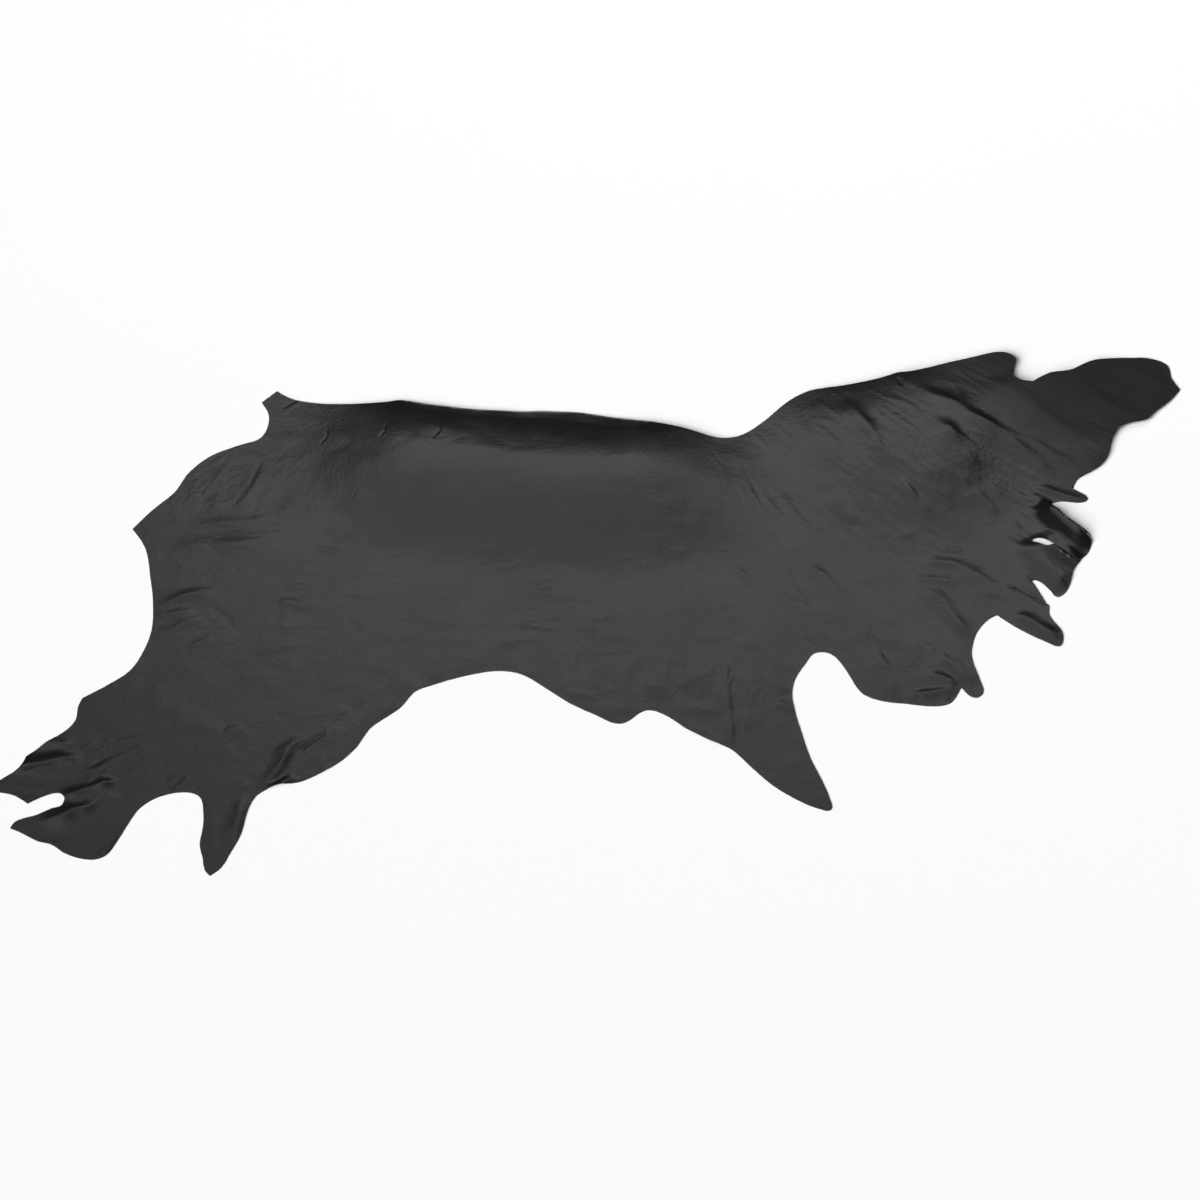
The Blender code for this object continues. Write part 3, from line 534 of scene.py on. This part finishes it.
def makeSide():
    edge = cutEdge(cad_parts["leather_side"])
    print("cut edge:", len(edge), "points")
    rows = keptApart(edge, insideEdge(creaseSpots(), edge), sheetSizes["creaseApart"])
    fixed = np.concatenate((edge, rows))
    grain, grainFaces, grainEdge = surface(edge, fixed, sheetSizes["grainStep"])
    flesh, fleshFaces, fleshEdge = surface(edge, edge, sheetSizes["fleshStep"])
    print("grain side:", len(grain), "points; flesh side:", len(flesh), "points")
    grainPlaces, grainLift = lapped(grain, foldHeights(grain))
    fleshPlaces, fleshLift = lapped(flesh, foldHeights(flesh))
    top = np.column_stack((grainPlaces, grainLift + grainHeights(grain) + sheetSizes["thickness"]))
    bottom = np.column_stack((fleshPlaces, fleshLift))
    count = len(top)
    faces = [tuple(face) for face in grainFaces]
    faces += [tuple(count + corner for corner in reversed(face)) for face in fleshFaces]
    for i in range(len(edge)):
        j = (i + 1) % len(edge)
        faces.append((grainEdge[j], grainEdge[i], count + fleshEdge[i], count + fleshEdge[j]))
    mesh = bpy.data.meshes.new("leatherSide")
    mesh.from_pydata(np.concatenate((top, bottom)) * mm, [], faces)
    finish = [0] * len(grainFaces) + [1] * len(fleshFaces) + [2] * len(edge)
    mesh.polygons.foreach_set("material_index", finish)
    everywhere = np.concatenate((grain, flesh))
    measures = {"loose": looseness, "dull": dullness, "rubbed": rubbing, "torn": tearing}
    for name, measure in measures.items():
        mesh.attributes.new(name, "FLOAT", "POINT").data.foreach_set("value", measure(everywhere))
    side = bpy.data.objects.new("leatherSide", mesh)
    scene.collection.objects.link(side)
    bpy.ops.object.select_all(action="DESELECT")
    side.select_set(True)
    bpy.context.view_layer.objects.active = side
    worn = side.modifiers.new("worn edge", "BEVEL")
    worn.width = sheetSizes["wornEdge"] * mm
    worn.segments = 1
    worn.angle_limit = math.radians(sheetSizes["wornTurn"])
    bpy.ops.object.modifier_apply(modifier=worn.name)
    bpy.ops.object.shade_smooth_by_angle(angle=math.radians(sheetSizes["smoothTurn"]))
    return side


# Finishes of the leather: the grain side, the flesh side and the cut edge
leatherLook = {
    "black": (0.0046, 0.0045, 0.0042, 1),
    "wornBlack": (0.0085, 0.0083, 0.0078, 1),
    "brownBlack": (0.0060, 0.0052, 0.0046, 1),      # on the head
    "rubbedBlack": (0.036, 0.035, 0.032, 1),
    "torn": (0.06, 0.052, 0.040, 1),
    "mottle": 7.0,                # texture scales of the uneven tone,
    "speckle": 95.0,              # of the specks in rubbed places
    "fibres": 420.0,              # and of torn fibres
    "speckleAt": (0.42, 0.62),    # how crisp the specks are
    "tornAt": (1.06, 1.18),       # and the torn fibres
    "roughness": (0.23, 0.28),
    "roughnessAt": (0.3, 0.7),
    "matt": 0.42,                 # added to the roughness on the head
    "rubbedMatt": 0.10,           # and in rubbed places
    "specular": 0.42,
    "specularTint": (1.0, 0.982, 0.955, 1),
    "grainSize": 1.8 * mm,
    "grainDepth": 0.05 * mm,
    "pebbleSize": 6 * mm,
    "pebbleDepth": 0.32 * mm,
    "rubbedPebbles": 0.6,         # how much deeper pebbles are in rubbed places
    "wrinkleSize": 12 * mm,
    "wrinkleDepth": 0.16 * mm,    # where the hide is loose
    "wrinkleTurn": -48,           # degrees
    "wrinkleStretch": 2.6,
    "dimpleSize": 26 * mm,
    "dimpleDepth": 0.3 * mm,      # everywhere
    "flesh": (0.022, 0.020, 0.018, 1),
    "fleshRoughness": 0.9,
    "nap": 300.0,
    "napDepth": 0.3 * mm,
    "edge": (0.035, 0.032, 0.028, 1),
    "edgeRoughness": 0.85,
}


def addNode(tree, kind, inputs={}, **settings):
    made = tree.nodes.new(kind)
    for name, value in settings.items():
        setattr(made, name, value)
    for name, value in inputs.items():
        if isinstance(value, bpy.types.NodeSocket):
            tree.links.new(value, made.inputs[name])
        else:
            made.inputs[name].default_value = value
    return made


def addMix(tree, factor, first, second):      # first where the factor is 0, second where it is 1
    colours = {"Factor": factor, 6: first, 7: second}      # 6 and 7 are the colour sockets
    return addNode(tree, "ShaderNodeMix", colours, data_type="RGBA").outputs[2]


def addMath(tree, operation, *values):
    return addNode(tree, "ShaderNodeMath", dict(enumerate(values)), operation=operation).outputs[0]


def addRange(tree, value, start, end, **settings):
    return addNode(tree, "ShaderNodeMapRange", {
        "Value": value, "From Min": start[0], "From Max": start[1],
        "To Min": end[0], "To Max": end[1]}, **settings).outputs["Result"]


def addNoise(tree, place, scale, detail, roughness, distortion=0.0):
    return addNode(tree, "ShaderNodeTexNoise", {
        "Vector": place, "Scale": scale, "Detail": detail, "Roughness": roughness,
        "Distortion": distortion}).outputs["Fac"]


def addBump(tree, height, depth, normal=None):
    bump = addNode(tree, "ShaderNodeBump", {"Height": height, "Strength": 1.0, "Distance": depth})
    if normal:
        tree.links.new(normal, bump.inputs["Normal"])
    return bump.outputs["Normal"]


def newMaterial(name, colour, roughness):
    material = bpy.data.materials.new(name)
    material.use_nodes = True
    shader = material.node_tree.nodes["Principled BSDF"]
    shader.inputs["Base Color"].default_value = colour
    shader.inputs["Roughness"].default_value = roughness
    return material, material.node_tree, shader


def grainLeather():
    look = leatherLook
    material, tree, shader = newMaterial("black grain leather", look["black"], look["roughness"][0])
    place = addNode(tree, "ShaderNodeTexCoord").outputs["Object"]
    loose, matt, rubbed, torn = (addNode(tree, "ShaderNodeAttribute", attribute_name=name).outputs["Fac"]
                                 for name in ("loose", "dull", "rubbed", "torn"))
    mottle = addNoise(tree, place, look["mottle"], 6.0, 0.6)
    speckle = addNoise(tree, place, look["speckle"], 5.0, 0.7)
    rub = addMath(tree, "MULTIPLY", rubbed, addRange(tree, speckle, look["speckleAt"], (0.0, 1.0)))
    fibres = addNoise(tree, place, look["fibres"], 3.0, 0.7)
    tear = addRange(tree, addMath(tree, "ADD", torn, fibres), look["tornAt"], (0.0, 1.0))
    tone = addMix(tree, mottle, look["black"], look["wornBlack"])
    tone = addMix(tree, matt, tone, look["brownBlack"])
    tone = addMix(tree, rub, tone, look["rubbedBlack"])
    tone = addMix(tree, tear, tone, look["torn"])
    tree.links.new(tone, shader.inputs["Base Color"])
    gloss = addRange(tree, mottle, look["roughnessAt"], look["roughness"])
    gloss = addMath(tree, "MULTIPLY_ADD", matt, look["matt"], gloss)
    gloss = addMath(tree, "MULTIPLY_ADD", rub, look["rubbedMatt"], gloss)
    tree.links.new(gloss, shader.inputs["Roughness"])
    pebbles = addNoise(tree, place, 1 / look["pebbleSize"], 2.0, 0.5)
    dimples = addNoise(tree, place, 1 / look["dimpleSize"], 2.0, 0.5)
    turned = addNode(tree, "ShaderNodeMapping", {
        "Vector": place, "Rotation": (0, 0, math.radians(look["wrinkleTurn"])),
        "Scale": (look["wrinkleStretch"], 1, 1)}, vector_type="TEXTURE").outputs["Vector"]
    wrinkled = addNoise(tree, turned, 1 / look["wrinkleSize"], 3.0, 0.55, 0.6)
    cells = addNode(tree, "ShaderNodeTexVoronoi", {"Vector": place, "Scale": 1 / look["grainSize"]},
                    feature="SMOOTH_F1").outputs["Distance"]
    looseWrinkles = addMath(tree, "MULTIPLY", wrinkled, loose)
    deeper = addMath(tree, "MULTIPLY_ADD", rubbed, look["rubbedPebbles"], 1.0)
    normal = addBump(tree, looseWrinkles, look["wrinkleDepth"])
    normal = addBump(tree, dimples, look["dimpleDepth"], normal)
    normal = addBump(tree, addMath(tree, "MULTIPLY", pebbles, deeper), look["pebbleDepth"], normal)
    normal = addBump(tree, cells, look["grainDepth"], normal)
    tree.links.new(normal, shader.inputs["Normal"])
    shader.inputs["Specular IOR Level"].default_value = look["specular"]
    shader.inputs["Specular Tint"].default_value = look["specularTint"]
    return material


def fleshLeather():
    material, tree, shader = newMaterial("flesh side", leatherLook["flesh"], leatherLook["fleshRoughness"])
    place = addNode(tree, "ShaderNodeTexCoord").outputs["Object"]
    nap = addNoise(tree, place, leatherLook["nap"], 4.0, 0.7)
    tree.links.new(addBump(tree, nap, leatherLook["napDepth"]), shader.inputs["Normal"])
    return material


def edgeLeather():
    return newMaterial("cut edge of leather", leatherLook["edge"], leatherLook["edgeRoughness"])[0]


side = makeSide()
for finish in (grainLeather(), fleshLeather(), edgeLeather()):
    side.data.materials.append(finish)
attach(side, "root")
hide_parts("leather_side")
print("leather side made")

# Floor, light and camera
studio = {
    "target": (0.030, 0.0405, 0),
    "distance": 60.0,
    "lens": 900.0,
    "slant": 45,                    # degrees
    "floor": (0.86, 0.86, 0.86, 1),
    "floorRoughness": 0.9,
    "floorSpecular": 0.1,
    "low": 0.02,                    # radiance of the surroundings near the floor
    "high": 0.70,                   # and overhead
    "highAt": (0.53, 0.76),         # sines of the elevation where the light begins and where it is full
    "top": 0.6,                     # what the middle overhead adds to it
    "topAt": (0.74, 0.90),
    "dimRight": 0.15,               # share of it that comes from the right,
    "rightAt": (0.03, 0.26),        # with the light's direction along x where the dimming begins and ends
    "dimFront": 0.04,               # and from the front, behind the camera, and from the far left
    "frontAt": (-0.05, 0.32),       # along y
    "leftAt": (-0.62, -0.36),       # along x
    "key": 5.2,                     # soft light from the front left, for the floor
    "keyFrom": (-0.6, -0.9, 0.75),
    "keySpread": 40,                # degrees
    "box": 9.0,                     # softbox behind the hide, in watts
    "boxSize": (2.6, 0.55),
    "boxPlace": (0.35, 2.87, 2.6),
    "boxFrom": (0, 1, 1),
}


def makeFloor():
    bpy.ops.mesh.primitive_plane_add(size=60, location=(0, 0, 0))
    floor = bpy.context.object
    floor.name = "floor"
    material, tree, shader = newMaterial("pale floor", studio["floor"], studio["floorRoughness"])
    shader.inputs["Specular IOR Level"].default_value = studio["floorSpecular"]
    floor.data.materials.append(material)


def addLight(name, kind, energy, comesFrom):
    light = bpy.data.lights.new(name, kind)
    light.energy = energy
    holder = bpy.data.objects.new(name, light)
    holder.rotation_euler = Vector(comesFrom).to_track_quat("Z", "Y").to_euler()
    scene.collection.objects.link(holder)
    return light, holder


def makeLight():
    world = bpy.data.worlds.new("studio")
    scene.world = world
    world.use_nodes = True
    tree = world.node_tree
    place = addNode(tree, "ShaderNodeTexCoord").outputs["Generated"]
    way = addNode(tree, "ShaderNodeSeparateXYZ", {"Vector": place}).outputs
    dim, full = studio["dimFront"], 1.0
    rise, top, right, left, front = (
        addRange(tree, way[axis], studio[where], shares, interpolation_type="SMOOTHSTEP")
        for axis, where, shares in (("Z", "highAt", (studio["low"], studio["high"])),
                                    ("Z", "topAt", (0.0, studio["top"])),
                                    ("X", "rightAt", (full, studio["dimRight"])),
                                    ("X", "leftAt", (dim, full)),
                                    ("Y", "frontAt", (dim, full))))
    sides = addMath(tree, "MULTIPLY", left, front)
    overhead = addMath(tree, "ADD", rise, top)
    strength = addMath(tree, "MULTIPLY", addMath(tree, "MULTIPLY", overhead, right), sides)
    sky = tree.nodes["Background"]
    sky.inputs["Color"].default_value = (1, 1, 1, 1)
    tree.links.new(strength, sky.inputs["Strength"])
    key, holder = addLight("key", "SUN", studio["key"], studio["keyFrom"])
    key.angle = math.radians(studio["keySpread"])
    box, holder = addLight("softbox", "AREA", studio["box"], studio["boxFrom"])
    box.shape = "RECTANGLE"
    box.size, box.size_y = studio["boxSize"]
    holder.location = studio["boxPlace"]


def makeCamera():
    data = bpy.data.cameras.new("camera")
    data.sensor_width = 36
    data.lens = studio["lens"]
    data.clip_end = 200
    camera = bpy.data.objects.new("camera", data)
    scene.collection.objects.link(camera)
    slant, distance = math.radians(studio["slant"]), studio["distance"]
    back = Vector((0, -distance * math.sin(slant), distance * math.cos(slant)))
    camera.location = Vector(studio["target"]) + back
    camera.rotation_euler = (slant, 0, 0)
    scene.camera = camera


makeFloor()
makeLight()
makeCamera()
scene.view_settings.view_transform = "Standard"
